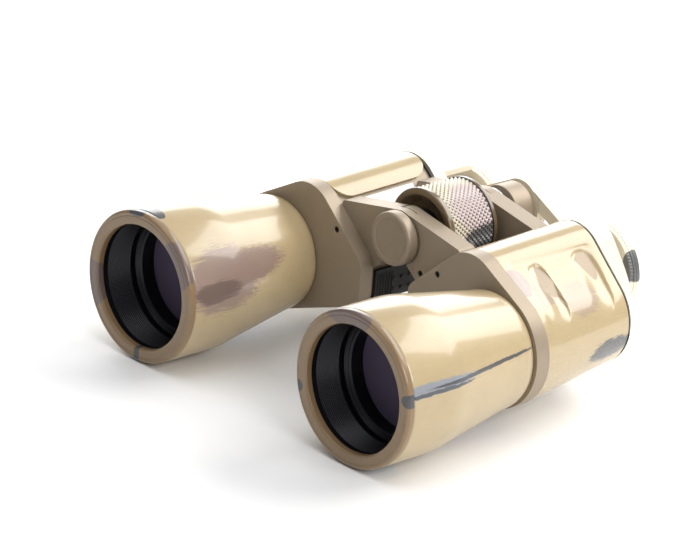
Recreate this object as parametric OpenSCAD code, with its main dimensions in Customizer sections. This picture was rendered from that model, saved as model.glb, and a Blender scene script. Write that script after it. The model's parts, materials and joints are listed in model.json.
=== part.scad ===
// Porro-prism field binoculars, 50 mm objectives, centre focus.
// X runs across the two tubes, Y along them from the objectives to the eye,
// Z up. The origin lies midway along the length, level with the bottom of
// the objective rings. Stations along Y are counted from the front rings.

/* [Overall] */
// Distance between the two objective axes
objective_spacing = 122.8; // [118:0.2:140]
// Distance between the two eyepiece axes with the hinge fully open
eye_spacing = 74; // [70:0.5:78]
// Height of the hinge axis over the objective axes
hinge_rise = 24.3; // [22:0.1:30]
// Height of the eyepiece axes over the objective axes
eye_rise = 7; // [5:0.1:10]
// Free width between the two inner walls, under the hinge
finger_gap = 27; // [24:0.5:30]

/* [Objectives] */
// Outer radius of the objective ring
ring_r = 31; // [29:0.1:34]
// Thickness of the objective ring along the axis
ring_l = 3.2; // [2.5:0.1:5]
// Radius of the open mouth in front of the lens
mouth_r = 25.2; // [22:0.1:27]
// Wall of the black lens cell
cell_wall = 1.6; // [1.2:0.1:2]
// Length of the straight front part of the barrel
barrel_straight_l = 27; // [22:0.5:30]
// Radius of the barrel where its taper ends
barrel_waist_r = 24; // [23:0.1:26]
// Wall of the barrel
barrel_wall = 2.2; // [1.8:0.1:3]
// Thickness of the objective lens at its edge
lens_l = 8; // [6:0.5:10]
// Depth of the lens behind the front ring
lens_depth = 26; // [22:0.5:30]

/* [Prism housings] */
// Station of the front face of the front covers
cover_at = 74.3; // [70:0.1:80]
// Thickness of the front cover
cover_l = 6.7; // [5:0.1:9]
// Length of the prism housing
housing_l = 50; // [46:0.5:60]
// Length of the rear cover's skirt
rear_cover_l = 5.8; // [5:0.1:8]
// Length of the eyepiece boss behind the rear cover
boss_l = 5; // [4:0.1:6]
// Length of the hood over the eyepiece, behind the lid
hood_l = 17; // [14:0.5:19]
// Inner radius of the hood around the eyepiece, where it ends
hood_r = 20.4; // [20.2:0.1:22]
// How much closer the housing's outer side is at the rear than at the front
taper_in = 5.7; // [0:0.1:6]
// How much higher the crown is at the rear than at the front
taper_up = 1.5; // [0:0.1:3]
// Radius of the housing around the objective axis
housing_r = 24.2; // [24:0.1:27]
// Radius of the housing's crown over the prisms
crown_r = 16; // [14:0.5:18]
// Wall of the castings
housing_wall = 2.2; // [1.8:0.1:3]
// Thickness of the armour skin and of the inner pads
skin_t = 1.6; // [1:0.1:2]
// Thickness of the gasket in front of the rear cover
gasket_t = 1.2; // [0.8:0.1:2]
// Clear radius of the light path through a prism
prism_r = 8.5; // [7:0.1:9]
// Thickness of the shelf between the two prisms
shelf_t = 3; // [2:0.1:4]

/* [Hinge and focus] */
// Outer radius of the hinge knuckles and the front cap
knuckle_r = 11; // [10:0.1:12]
// Thickness of the hinge arms along the axis
arm_l = 8.4; // [7:0.1:10]
// Outer radius of the hinge tube
tube_r = 7; // [6.5:0.1:8]
// Wall of the hinge tube
tube_wall = 1.5; // [1.2:0.1:1.8]
// Radius of the focus wheel
wheel_r = 17.5; // [15:0.5:18]
// Length of the focus wheel
wheel_l = 26; // [20:0.5:28]
// Gap between the front hinge arm and the focus wheel
wheel_clear = 3; // [2:0.1:4]
// Thickness of the front cap
cap_l = 5; // [4:0.1:6]
// Radius of the tripod thread, a quarter of an inch across
tripod_r = 3.175; // [3.1:0.005:3.3]
// Depth of the tripod thread
tripod_l = 8; // [6:0.5:9]

/* [Eyepieces] */
// Outer radius of the eyecups
eyecup_r = 19.8; // [17:0.1:20]
// Length of the eyecups behind their turning rings
eyecup_l = 4.3; // [3.5:0.1:8]
// Radius of the sliding eyepiece barrels
ocular_r = 13; // [12:0.1:13.5]
// Thickness of the bridge along the axis
bridge_l = 6.5; // [6:0.1:8]
// Radius of the bridge hub
hub_r = 10.8; // [10:0.1:12]
// Distance that the focus moves the eyepieces inwards from rest
focus_in = 3; // [2:0.1:3.4]
// Distance that the focus moves the eyepieces outwards from rest
focus_out = 5; // [3:0.1:6]
// Distance that the dioptre ring travels either way
dioptre_travel = 1.2; // [0.8:0.1:1.3]

/* [Fits] */
// Radial clearance of parts that turn or slide in each other
running_gap = 0.05; // [0.02:0.01:0.1]
// Free gap between faces that pass each other
pass_gap = 0.3; // [0.3:0.05:0.5]

/* [Hidden] */

round_fn = 96;
small_fn = 32;
arc_step = 5;

// Colours
tan_paint = [0.80, 0.70, 0.50];
brown_paint = [0.34, 0.28, 0.22];
ring_paint = [0.55, 0.45, 0.33];
cream_paint = [0.90, 0.86, 0.76];
black_part = [0.07, 0.07, 0.08];
steel_part = [0.70, 0.70, 0.72];
brass_part = [0.72, 0.58, 0.30];
glass_part = [0.62, 0.72, 0.78, 0.5];
coated_glass = [0.22, 0.18, 0.30, 0.7];

// Axes, as [x, z]
objective = [objective_spacing / 2, ring_r];
eye = [eye_spacing / 2, ring_r + eye_rise];
hinge = [0, ring_r + hinge_rise];

// Light comes in on the objective axis and leaves on the eye axis, turned
// back by the two prisms at the corner point between them
offset_half = (eye - objective) / 2;
corner = objective + offset_half + [offset_half[1], -offset_half[0]];

// The housing's outline is the outer line around four circles [x, z, r]
wall_x = finger_gap / 2;
inner_top_r = 6;
inner_low_r = 5;
crown = [corner[0] - 6.2, corner[1] + 1.9, crown_r];
inner_top = [wall_x + inner_top_r, hinge[1] - 17, inner_top_r];
inner_low = [wall_x + inner_low_r, ring_r - 5, inner_low_r];
BODY = [[objective[0], objective[1], housing_r], crown, inner_top, inner_low];
BODY_REAR = [
    [objective[0] - taper_in / 3, objective[1] + 1, housing_r - taper_in * 2 / 3],
    [crown[0], crown[1] + taper_up, crown_r], inner_top, inner_low
];

// Stations along the axis
neck_r = housing_r - 2.7;
barrel_end = cover_at - 6.3;
housing_at = cover_at + cover_l;
gasket_at = housing_at + housing_l;
rear_cover_at = gasket_at + gasket_t;
rear_face = rear_cover_at + rear_cover_l;
boss_end = rear_face + boss_l;
rear_arm_at = gasket_at - 0.5 - arm_l;
spigot_l = 4;
lap_t = 0.4;
half_arm = (arm_l - lap_t) / 2;
cap_at = housing_at - 0.4 - cap_l;
bush_at = housing_at + spigot_l;
wheel_at = housing_at + arm_l + wheel_clear;
wheel_end = wheel_at + wheel_l;
wheel_rim_l = 2.5;
wheel_cup_l = 3;
nut_l = 2.3;
nut_at = rear_arm_at + arm_l + 0.2;
tube_end = nut_at + nut_l;
bridge_at = boss_end + focus_in + 1.5;
bridge_end = bridge_at + bridge_l;
hub_lap = 0.2;
half_bridge = (bridge_l - hub_lap) / 2;
ocular_at = gasket_at - 1;
ring_at = bridge_end + dioptre_travel + pass_gap;
eye_ring_l = 2.2;
eyecup_at = ring_at + eye_ring_l;
overall_l = eyecup_at + eyecup_l;
front_y = -overall_l / 2;
hood_end = rear_face + hood_l;
ocular_end = ring_at - pass_gap;
eye_cell_end = eyecup_at - 0.5;

// Bores and shafts
cell_r = mouth_r + cell_wall;
seat_r = mouth_r - 0.4;
mouth_l = 18;
rod_r = tube_r - tube_wall - running_gap;
pin_r = 1.5;
pin_at = wheel_at + wheel_l / 2;
eye_cell_r = ocular_r - 1.9;
eye_cell_wall = 1.3;
ear_r = knuckle_r + pass_gap;
clamp_r = ocular_r + 2.5;
flap_x = eye[0] - 2;

// Screws of the covers and of the right hinge arm, as [x, z]
screw_r = 1.3;
shank_l = 4.4;
screw_spot = [eye[0] - 8.2, ring_r + 19.4];
arm_screw_spot = [wall_x - 0.5, hinge[1] - 11.3];
rear_spots = [
    [inner_low[0] + 3, ring_r + 1],
    [crown[0] + 8, crown[1] + 3],
    [objective[0] + 2, ring_r - 5]
];

// Hood over the eyepiece, and the lid of the rear cover
hood_t = 1.7;
hood_slope = 0.39;
lid_t = 2;

// Raised dots on the inner pads
pad_margin = 2;
dot_r = 1;
dot_h = 0.5;
dot_pitch = 4.5;

// Prisms
prism_shift = norm(corner - objective);
prism_depth = prism_shift / 2 + prism_r;
shelf_at = housing_at + housing_l / 2 - shelf_t / 2 - 1;
clip_t = 0.6;
clip_w = 5;

// ---- Outlines -------------------------------------------------------

// Outward angle of the line that touches circles a and b, going round
// anticlockwise from a to b
function touch_angle(a, b) =
    atan2(b[1] - a[1], b[0] - a[0])
    - acos((a[2] - b[2]) / norm([b[0] - a[0], b[1] - a[1]]));

// Angle through which the outer line turns around circle i of a ring
function turn_at(circles, i) =
    let (n = len(circles), c = circles[i])
    (touch_angle(c, circles[(i + 1) % n]) - touch_angle(circles[(i + n - 1) % n], c) + 720) % 360;

// Steps in which each circle's arc is drawn
function arc_steps(circles) =
    [for (i = [0:len(circles) - 1]) max(2, ceil(turn_at(circles, i) / arc_step))];

// Outer line around a ring of circles, grown by d, in given steps per circle
function around(circles, d = 0, steps = []) =
    let (n = len(circles), count = len(steps) > 0 ? steps : arc_steps(circles))
    [for (i = [0:n - 1], k = [0:count[i]])
        let (
            c = circles[i],
            start = touch_angle(circles[(i + n - 1) % n], c),
            angle = start + turn_at(circles, i) * k / count[i]
        )
        [c[0], c[1]] + (c[2] + d) * [cos(angle), sin(angle)]];

// ---- Shared solids --------------------------------------------------

// Extrudes an outline in X and Z from station s0 to s1
module slab(s0, s1) {
    translate([0, front_y + s1, 0])
        rotate([90, 0, 0])
            linear_extrude(s1 - s0)
                children();
}

// Turns a profile of [radius, station] points about an axis at [x, z]
module turned(axis, profile, fn = round_fn) {
    translate([axis[0], front_y, axis[1]])
        rotate([-90, 0, 0])
            rotate_extrude($fn = fn)
                polygon(profile);
}

// Fills between the front outline at station s0 and the rear outline at s1,
// both drawn in the same steps
module loft(s0, s1, d = 0) {
    steps = arc_steps(BODY);
    front = around(BODY, d, steps);
    rear = around(BODY_REAR, d, steps);
    n = len(front);
    polyhedron(
        points = concat(
            [for (p = front) [p[0], front_y + s0, p[1]]],
            [for (p = rear) [p[0], front_y + s1, p[1]]]
        ),
        faces = concat(
            [[for (i = [n - 1 : -1 : 0]) i], [for (i = [n : 2 * n - 1]) i]],
            [for (i = [0:n - 1]) [i, (i + 1) % n, n + (i + 1) % n]],
            [for (i = [0:n - 1]) [i, n + (i + 1) % n, n + i]]
        )
    );
}

module tube(axis, r_out, r_in, s0, s1, fn = round_fn) {
    turned(axis, [[r_in, s0], [r_out, s0], [r_out, s1], [r_in, s1]], fn);
}

module rod(axis, r, s0, s1, fn = round_fn) {
    tube(axis, r, 0, s0, s1, fn);
}

// Puts a right-hand part on side k, 1 for right and -1 for left
module side(k) {
    if (k < 0) {
        mirror([1, 0, 0]) children();
    } else {
        children();
    }
}

// ---- Objective ------------------------------------------------------

module objective_ring() {
    bevel = 0.8;
    color(ring_paint)
        turned(objective, [
            [mouth_r, 0.6], [mouth_r + 0.6, 0], [ring_r - bevel, 0], [ring_r, bevel],
            [ring_r, ring_l], [cell_r, ring_l], [mouth_r, ring_l]
        ]);
}

// Tube with the filter thread's bore, a relief groove and the lens seat
module objective_cell() {
    seat = lens_depth + lens_l;
    color(black_part)
        turned(objective, [
            [mouth_r, ring_l], [cell_r, ring_l], [cell_r, seat + 2],
            [mouth_r - 3, seat + 2], [mouth_r - 3, seat], [seat_r, seat],
            [seat_r, mouth_l + 1], [mouth_r + 0.4, mouth_l + 1], [mouth_r + 0.4, mouth_l],
            [mouth_r, mouth_l]
        ]);
}

module objective_lens() {
    bulge = 1.4;
    edge = lens_depth + bulge;
    color(coated_glass)
        turned(objective, concat(
            [for (i = [0:8]) [seat_r * i / 8, edge - bulge * (1 - pow(i / 8, 2))]],
            [[seat_r, lens_depth + lens_l], [0, lens_depth + lens_l]]
        ));
}

module retaining_ring() {
    lip = mouth_r - 2.8;
    color(black_part)
        turned(objective, [
            [lip, lens_depth - 5], [seat_r, lens_depth - 6.5],
            [seat_r, lens_depth + 1.4], [lip, lens_depth + 1]
        ]);
}

// Straight front, long taper, and a rounded tail that meets the cover
module objective_barrel() {
    tail = cover_at - barrel_end;
    tail_r = barrel_waist_r - 2.2;
    color(tan_paint)
        turned(objective, concat(
            [[cell_r, ring_l], [ring_r, ring_l], [ring_r, barrel_straight_l]],
            [for (a = [0:15:90])
                [tail_r + (barrel_waist_r - tail_r) * cos(a), barrel_end + tail * sin(a)]],
            [
                [neck_r, cover_at], [neck_r, housing_at],
                [neck_r - barrel_wall, housing_at],
                [neck_r - barrel_wall, barrel_end],
                [cell_r, lens_depth + lens_l + 2]
            ]
        ));
}

module baffle() {
    r0 = neck_r - barrel_wall;
    r1 = r0 - 5;
    color(black_part)
        turned(objective, [
            [r0 - 1.2, barrel_end + 2], [r0, barrel_end + 2], [r0, barrel_end + 3.2],
            [r1, housing_at + 1], [r1 - 1.2, housing_at + 1]
        ]);
}

// ---- Prism housing --------------------------------------------------

module body_outline(d = 0) {
    polygon(around(BODY, d));
}

module front_cover() {
    color(brown_paint)
        difference() {
            slab(cover_at, housing_at) body_outline();
            rod(objective, neck_r, cover_at - 1, housing_at + 1);
            rod(screw_spot, screw_r, cover_at - 1, cover_at + 2, small_fn);
            rod(screw_spot, screw_r / 2, cover_at, housing_at + 1, small_fn);
        }
}

// Cross-head screw with its head at station s, facing forwards or back
module cross_screw(spot, s, facing) {
    s_in = s - facing * 1.6;
    s_tip = s_in - facing * shank_l;
    difference() {
        union() {
            rod(spot, screw_r, min(s, s_in), max(s, s_in), small_fn);
            rod(spot, screw_r / 2, min(s_in, s_tip), max(s_in, s_tip), small_fn);
        }
        for (turn = [0, 90])
            translate([spot[0], front_y + s, spot[1]])
                rotate([0, turn, 0])
                    cube([screw_r * 1.3, 1.2, 0.5], center = true);
    }
}

module cover_screws(k) {
    color(steel_part) {
        cross_screw(screw_spot, cover_at + 0.2, -1);
        if (k > 0)
            cross_screw(arm_screw_spot, housing_at + 0.2, -1);
        for (spot = rear_spots)
            cross_screw(spot, rear_face - 0.2, 1);
    }
}

// Hinge arm: from the inner wall's corner and the flap up to the knuckle. It
// leaves the knuckle narrow below, so that the two halves can fold together.
module arm(s) {
    corner_end = [inner_top[0], inner_top[1], inner_top[2] - skin_t - 0.3];
    flap_end = [flap_x - 3.5, hinge[1] + 3.3, 2];
    slab(s, s + arm_l) {
        polygon(around([corner_end, flap_end, [hinge[0], hinge[1], knuckle_r - 6]]));
        polygon(around([flap_end, [hinge[0], hinge[1], knuckle_r]]));
    }
    rod(hinge, knuckle_r, s, s + arm_l);
}

// Clears the front half of the knuckle at station s, or the rear half, for
// the other side's knuckle and the washer
module lap_cut(s, front) {
    if (front) {
        rod(hinge, ear_r, s - 0.5, s + half_arm + lap_t);
    } else {
        rod(hinge, ear_r, s + half_arm, s + arm_l + 0.5);
    }
}

// Casting with its two hinge arms. The left half holds the outer half of
// each knuckle and the right half the inner half, with a washer between.
module housing(k) {
    bore = k < 0 ? tube_r : tube_r + running_gap;
    color(brown_paint)
        difference() {
            union() {
                loft(housing_at, gasket_at, -skin_t);
                arm(housing_at);
                arm(rear_arm_at);
            }
            loft(housing_at - 0.1, gasket_at + 0.1, -skin_t - housing_wall);
            lap_cut(housing_at, k > 0);
            lap_cut(rear_arm_at, k < 0);
            rod(hinge, bore, housing_at - 1, gasket_at + 1);
            if (k > 0) {
                rod(arm_screw_spot, screw_r, housing_at - 1, housing_at + 1.8, small_fn);
                rod(arm_screw_spot, screw_r / 2, housing_at, housing_at + 2 + shank_l, small_fn);
            }
        }
}

// Everything outside the flap's edge on a shell between two growths
module skin_over(d_out, d_in, from, to, x0, x1) {
    intersection() {
        difference() {
            loft(housing_at, gasket_at, d_out);
            loft(housing_at, gasket_at, d_in);
        }
        slab(from, to) translate([x0, 0]) square([x1 - x0, 3 * objective[1]]);
    }
}

module armour() {
    color(tan_paint)
        skin_over(0, -skin_t, housing_at, gasket_at, flap_x, 2 * objective[0]);
}

// Blank pale label on the sloping inner face, between the arms
module label() {
    label_t = 0.3;
    color("white")
        intersection() {
            skin_over(-skin_t + label_t, -skin_t, housing_at + arm_l + 0.5, rear_arm_at - 1,
                inner_top[0] + 1, flap_x - 0.1);
            slab(housing_at, gasket_at)
                translate([0, hinge[1] - 12]) square([objective[0], objective[1]]);
        }
}

module grip_pad() {
    pad_from = housing_at + pad_margin;
    pad_to = gasket_at - pad_margin;
    low = inner_low[1] - inner_low_r + 0.4;
    high = inner_top[1] - 2.5;
    count = floor((pad_to - pad_from - 12) / dot_pitch);
    color(black_part)
        union() {
            difference() {
                intersection() {
                    slab(pad_from, pad_to) body_outline();
                    slab(pad_from, pad_to)
                        translate([0, low]) square([wall_x + inner_low_r, high - low]);
                }
                loft(housing_at, gasket_at, -skin_t);
            }
            for (i = [0:count - 1], z = [inner_low[1] : dot_pitch : high - dot_r])
                translate([wall_x - dot_h, front_y + pad_from + 10 + i * dot_pitch, z])
                    rotate([0, 90, 0])
                        cylinder(r1 = dot_r * 0.7, r2 = dot_r, h = dot_h + 0.2, $fn = small_fn);
        }
}

module gasket() {
    color(black_part)
        slab(gasket_at, rear_cover_at)
            difference() {
                polygon(around(BODY_REAR, -0.5));
                polygon(around(BODY_REAR, -skin_t - housing_wall));
            }
}

// Cone from the rear outline to a ring around the eyepiece, kept inside the
// line of the housing
module hood_solid(d) {
    intersection() {
        hull() {
            slab(rear_cover_at, rear_cover_at + 0.01) polygon(around(BODY_REAR, d));
            slab(hood_end - 0.01, hood_end)
                translate(eye) circle(r = hood_r + hood_t + d, $fn = round_fn);
        }
        slab(rear_cover_at - 1, hood_end + 1) polygon(around(BODY_REAR, d));
    }
}

// Skirt and lid behind the gasket, a boss for the eyepiece, and a hood that
// reaches back over the eyepiece from the crown
module rear_cover() {
    boss_r = ocular_r + running_gap + 1.5;
    far = 2 * objective[0];
    color(cream_paint)
        difference() {
            union() {
                difference() {
                    hood_solid(0);
                    hood_solid(-hood_t);
                    slab(rear_face, hood_end + 1) translate([-1, -1]) square([flap_x + 0.3, far]);
                    slab(rear_face, hood_end + 1) translate([-1, -1]) square([far, eye[1] + 1]);
                    hood_cut();
                }
                intersection() {
                    slab(rear_face - lid_t, rear_face) square([far, far]);
                    hood_solid(-0.5);
                }
                rod(eye, boss_r, rear_face - lid_t, boss_end);
            }
            rod(eye, ocular_r + running_gap, rear_cover_at - 1, boss_end + 1);
            for (spot = rear_spots) {
                rod(spot, screw_r, rear_face - 1.8, rear_face + 1, small_fn);
                rod(spot, screw_r / 2, rear_cover_at, rear_face, small_fn);
            }
        }
}

// Clears what lies behind the hood's edge, which comes forward as it goes out
module hood_cut() {
    far = 2 * objective[0];
    translate([0, front_y, -1])
        linear_extrude(far)
            polygon([
                [flap_x - 1, hood_end], [far, hood_end - hood_slope * (far - flap_x)],
                [far, hood_end + 20], [flap_x - 1, hood_end + 20]
            ]);
}

// ---- Prisms ---------------------------------------------------------

// Light paths p and q through a prism, as circles
function prism_ends(p, q) = [[p[0], p[1], prism_r], [q[0], q[1], prism_r]];

// Frame at the middle of a prism, its X running from light path p to q
module prism_frame(p, q, s) {
    middle = (p + q) / 2;
    translate([middle[0], front_y + s, middle[1]])
        rotate([0, -atan2(q[1] - p[1], q[0] - p[0]), 0])
            children();
}

// Right-angled prism with its long face at station s and rounded ends;
// its roof points to the rear when facing is 1, to the front when -1
module prism(p, q, s, facing) {
    flat = 0.8;
    tip = facing * (prism_depth - flat);
    color(glass_part)
        intersection() {
            slab(min(s, s + tip), max(s, s + tip)) polygon(around(prism_ends(p, q)));
            prism_frame(p, q, s)
                translate([0, 0, -2 * prism_r])
                    linear_extrude(4 * prism_r)
                        polygon([[-prism_depth, 0], [prism_depth, 0], [flat, tip], [-flat, tip]]);
        }
}

// Spring clip like a staple over the roof of a prism
module prism_clip(p, q, s, facing) {
    inside = prism_r + 0.2;
    reach = prism_depth - 0.8;
    base = facing < 0 ? -reach - clip_t : 0;
    prism_frame(p, q, s)
        difference() {
            translate([-clip_w / 2, base, -inside - clip_t])
                cube([clip_w, reach + clip_t, 2 * (inside + clip_t)]);
            translate([-clip_w, base - facing * clip_t, -inside])
                cube([2 * clip_w, reach + clip_t, 2 * inside]);
        }
}

module prism_clips() {
    color(brass_part) {
        prism_clip(corner, eye, shelf_at, -1);
        prism_clip(objective, corner, shelf_at + shelf_t, 1);
    }
}

module prism_shelf() {
    window_r = prism_r - 1;
    color(black_part)
        difference() {
            slab(shelf_at, shelf_at + shelf_t)
                intersection() {
                    polygon(around(BODY, -skin_t - housing_wall - 0.2));
                    polygon(around(BODY_REAR, -skin_t - housing_wall - 0.2));
                }
            for (spot = [objective, corner, eye])
                rod(spot, window_r, shelf_at - 1, shelf_at + shelf_t + 1);
        }
}

// ---- Hinge and focus ------------------------------------------------

module hinge_tube() {
    slot_from = pin_at - focus_in - pin_r - 0.3;
    slot_to = pin_at + focus_out + pin_r + 0.3;
    slot_w = 2 * pin_r + 0.2;
    color(steel_part)
        difference() {
            tube(hinge, tube_r, tube_r - tube_wall, housing_at, tube_end);
            translate([-slot_w / 2, front_y + slot_from, hinge[1]])
                cube([slot_w, slot_to - slot_from, tube_r + 1]);
        }
}

module tripod_bush() {
    color(brass_part)
        tube(hinge, tube_r - tube_wall, tripod_r, bush_at, bush_at + tripod_l, small_fn * 2);
}

module hinge_washers() {
    color(brass_part)
        for (s = [housing_at + half_arm, rear_arm_at + half_arm])
            tube(hinge, knuckle_r - 0.5, tube_r, s + 0.05, s + lap_t - 0.05);
}

module wheel_spacers() {
    color(black_part) {
        tube(hinge, tube_r + 2, tube_r, housing_at + arm_l + 0.1, wheel_at + wheel_cup_l - 0.2);
        tube(hinge, tube_r + 2, tube_r, wheel_end + 0.2, rear_arm_at - 0.1);
    }
}

module hinge_ring_nut() {
    color(steel_part)
        tube(hinge, tube_r + 3, tube_r, nut_at, tube_end);
}

// Cap whose spigot screws into the front of the hinge tube
module front_cap() {
    rim = 0.6;
    back = cap_at + cap_l;
    spigot_r = tube_r - tube_wall - running_gap;
    color(brown_paint)
        turned(hinge, [
            [0, cap_at], [knuckle_r - rim, cap_at], [knuckle_r, cap_at + rim],
            [knuckle_r, back], [spigot_r, back], [spigot_r, back + spigot_l],
            [spigot_r - 1.5, back + spigot_l], [spigot_r - 1.5, back], [0, back]
        ]);
}

// Rims at both ends, a seat for the knurled grip, and a hollow that gives
// the drive pin room to travel
module focus_wheel() {
    seat_r = wheel_r - 2;
    room_from = pin_at - focus_in - pin_r - 1;
    room_to = pin_at + focus_out + pin_r + 1;
    color(cream_paint)
        turned(hinge, [
            [tube_r + running_gap, wheel_at + wheel_cup_l], [wheel_r - 5.5, wheel_at + wheel_cup_l],
            [wheel_r - 2.8, wheel_at], [wheel_r - 0.5, wheel_at], [wheel_r, wheel_at + 0.5],
            [wheel_r, wheel_at + wheel_rim_l], [seat_r, wheel_at + wheel_rim_l],
            [seat_r, wheel_end - wheel_rim_l], [wheel_r, wheel_end - wheel_rim_l],
            [wheel_r, wheel_end - 0.5], [wheel_r - 0.5, wheel_end], [tube_r + running_gap, wheel_end],
            [tube_r + running_gap, room_to], [tube_r + 2.4, room_to],
            [tube_r + 2.4, room_from], [tube_r + running_gap, room_from]
        ]);
}

module wheel_grip() {
    color(ring_paint)
        tube(hinge, wheel_r - 0.1, wheel_r - 2, wheel_at + wheel_rim_l, wheel_end - wheel_rim_l);
}

module focus_rod() {
    color(steel_part)
        difference() {
            rod(hinge, rod_r, pin_at - 8, bridge_end);
            drive_pin_solid();
        }
}

module drive_pin_solid() {
    translate([0, front_y + pin_at, hinge[1] - rod_r + 1])
        cylinder(r = pin_r, h = rod_r - 1 + tube_r + 2, $fn = small_fn);
}

module drive_pin() {
    color(steel_part) drive_pin_solid();
}

// Collar in front of the bridge, with a groove where it meets the hub
module rod_sleeve() {
    sleeve_r = hub_r - 0.6;
    groove_l = 1.6;
    color(brown_paint)
        turned(hinge, [
            [rod_r, tube_end + focus_in + pass_gap], [sleeve_r, tube_end + focus_in + pass_gap],
            [sleeve_r, bridge_at - groove_l], [sleeve_r - 1.8, bridge_at - groove_l],
            [sleeve_r - 1.8, bridge_at], [rod_r, bridge_at]
        ]);
}

module bridge_cap() {
    slot_w = 1.2;
    color(brown_paint)
        difference() {
            turned(hinge, [
                [0, bridge_end], [hub_r - 1.5, bridge_end], [hub_r - 1.5, bridge_end + 1.4],
                [hub_r - 2.3, bridge_end + 2.2], [0, bridge_end + 2.2]
            ]);
            translate([-hub_r, front_y + bridge_end + 1.4, hinge[1] - slot_w / 2])
                cube([2 * hub_r, 2, slot_w]);
        }
}

// ---- Bridge and eyepieces -------------------------------------------

// Arm from the hub to the clamp around an eyepiece. The left arm holds the
// front half of the hub and the right arm the rear half.
module bridge_arm(k) {
    cut_from = k < 0 ? half_bridge : -1;
    cut_to = k < 0 ? bridge_l + 1 : half_bridge + hub_lap;
    bore = k < 0 ? rod_r : rod_r + running_gap;
    neck_half = 2.7;
    neck = [
        [eye[0] - 6.1, eye[1] + 10.4, neck_half],
        [hinge[0] + 4.7, hinge[1] + 6.6, neck_half]
    ];
    color(brown_paint)
        difference() {
            union() {
                slab(bridge_at, bridge_end) polygon(around(neck));
                rod(hinge, hub_r, bridge_at, bridge_end);
                rod(eye, clamp_r, bridge_at, bridge_end);
            }
            rod(hinge, hub_r + pass_gap, bridge_at + cut_from, bridge_at + cut_to);
            rod(hinge, bore, bridge_at - 1, bridge_end + 1);
            rod(eye, ocular_r, bridge_at - 1, bridge_end + 1);
        }
}

module eyepiece_barrel() {
    color(black_part)
        tube(eye, ocular_r, eye_cell_r + running_gap, ocular_at, ocular_end);
}

module eye_cell(k) {
    r = k < 0 ? eye_cell_r + running_gap : eye_cell_r;
    color(black_part)
        turned(eye, [
            [eye_cell_r - eye_cell_wall, ocular_at + 3], [r, ocular_at + 3], [r, eye_cell_end],
            [eye_cell_r - 2.6, eye_cell_end], [eye_cell_r - 2.6, eye_cell_end - 1],
            [eye_cell_r - eye_cell_wall, eye_cell_end - 1]
        ]);
}

module eye_lenses() {
    r = eye_cell_r - eye_cell_wall;
    color(glass_part) {
        turned(eye, [
            [0, ocular_at + 5], [r, ocular_at + 6.5], [r, ocular_at + 9], [0, ocular_at + 9]
        ]);
        turned(eye, [
            [0, eye_cell_end - 9], [r, eye_cell_end - 7.5], [r, eye_cell_end - 1],
            [eye_cell_r - 2.6, eye_cell_end - 1], [0, eye_cell_end - 0.2]
        ]);
    }
}

// Turning ring behind the bridge; the left one is fixed
module eyepiece_ring() {
    color(cream_paint)
        tube(eye, eyecup_r, ocular_r + pass_gap + 1.2, ring_at, eyecup_at);
}

module eyecup(k) {
    r_in = k < 0 ? eye_cell_r + running_gap : eye_cell_r;
    lip = eyecup_r - 3;
    floor_t = 1;
    color(cream_paint)
        turned(eye, [
            [ocular_r + pass_gap, ring_at + 0.6], [ocular_r + pass_gap + 1.2, ring_at + 0.6],
            [ocular_r + pass_gap + 1.2, eyecup_at], [eyecup_r, eyecup_at],
            [eyecup_r, overall_l - 1], [eyecup_r - 1, overall_l], [lip + 0.5, overall_l],
            [lip, overall_l - 0.8], [lip - 1, eyecup_at + floor_t],
            [r_in, eyecup_at + floor_t], [r_in, eyecup_at - 0.3], [ocular_r + pass_gap, eyecup_at - 0.3]
        ]);
}

// ---- Named nodes ----------------------------------------------------

module left_objective_ring() side(-1) objective_ring();
module left_objective_cell() side(-1) objective_cell();
module left_objective_lens() side(-1) objective_lens();
module left_retaining_ring() side(-1) retaining_ring();
module left_objective_barrel() side(-1) objective_barrel();
module left_baffle() side(-1) baffle();
module left_front_cover() side(-1) front_cover();
module left_cover_screws() side(-1) cover_screws(-1);
module left_housing() side(-1) housing(-1);
module left_armour() side(-1) armour();
module left_grip_pad() side(-1) grip_pad();
module left_gasket() side(-1) gasket();
module left_rear_cover() side(-1) rear_cover();
module left_prism_shelf() side(-1) prism_shelf();
module left_front_prism() side(-1) prism(corner, eye, shelf_at, -1);
module left_rear_prism() side(-1) prism(objective, corner, shelf_at + shelf_t, 1);
module left_prism_clips() side(-1) prism_clips();
module left_label() side(-1) label();
module left_bridge_arm() side(-1) bridge_arm(-1);
module left_eyepiece_barrel() side(-1) eyepiece_barrel();
module left_eye_cell() side(-1) eye_cell(-1);
module left_eye_lenses() side(-1) eye_lenses();
module left_eyepiece_ring() side(-1) eyepiece_ring();
module left_eyecup() side(-1) eyecup(-1);

module right_objective_ring() side(1) objective_ring();
module right_objective_cell() side(1) objective_cell();
module right_objective_lens() side(1) objective_lens();
module right_retaining_ring() side(1) retaining_ring();
module right_objective_barrel() side(1) objective_barrel();
module right_baffle() side(1) baffle();
module right_front_cover() side(1) front_cover();
module right_cover_screws() side(1) cover_screws(1);
module right_housing() side(1) housing(1);
module right_armour() side(1) armour();
module right_grip_pad() side(1) grip_pad();
module right_gasket() side(1) gasket();
module right_rear_cover() side(1) rear_cover();
module right_prism_shelf() side(1) prism_shelf();
module right_front_prism() side(1) prism(corner, eye, shelf_at, -1);
module right_rear_prism() side(1) prism(objective, corner, shelf_at + shelf_t, 1);
module right_prism_clips() side(1) prism_clips();
module right_bridge_arm() side(1) bridge_arm(1);
module right_eyepiece_barrel() side(1) eyepiece_barrel();
module right_eye_cell() side(1) eye_cell(1);
module right_eye_lenses() side(1) eye_lenses();
module dioptre_ring() side(1) eyepiece_ring();
module right_eyecup() side(1) eyecup(1);

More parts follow.
